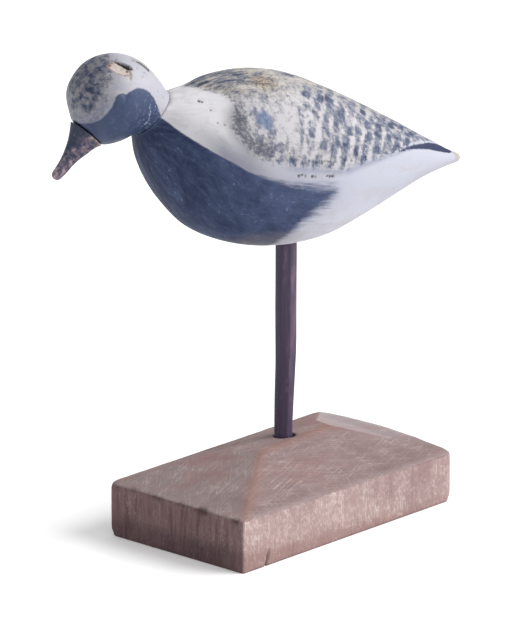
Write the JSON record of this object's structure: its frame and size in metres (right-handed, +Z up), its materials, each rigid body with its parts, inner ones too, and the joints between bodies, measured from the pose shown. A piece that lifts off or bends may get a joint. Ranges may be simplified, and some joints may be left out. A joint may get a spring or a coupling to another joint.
{
  "type": "shorebird decoy on stand",
  "caption": "Carved and painted plover decoy with head bent down, on a whittled stick in a rasped rectangular wooden block.",
  "frame": {"origin": "middle of the block's underside", "axes": "+Z up along the stick, X along the block, the bird looks towards -X and a little to +Y"},
  "size_m": [0.1982, 0.1137, 0.2295],
  "materials": {
    "base_wood": "weathered red-brown wood, rasped, matt",
    "stick_wood": "whittled dark wood, dull sheen",
    "body_paint": "old oil paint on carved wood, off-white and slate blue-black, worn satin",
    "head_paint": "old oil paint on carved wood, mottled grey and slate blue-black, worn satin",
    "bill_paint": "worn slate black paint over brown wood, matt"
  },
  "bodies": {
    "root": {"base": "base_wood", "stick": "stick_wood", "body": "body_paint", "head": "head_paint", "bill": "bill_paint"}
  },
  "joints": []
}
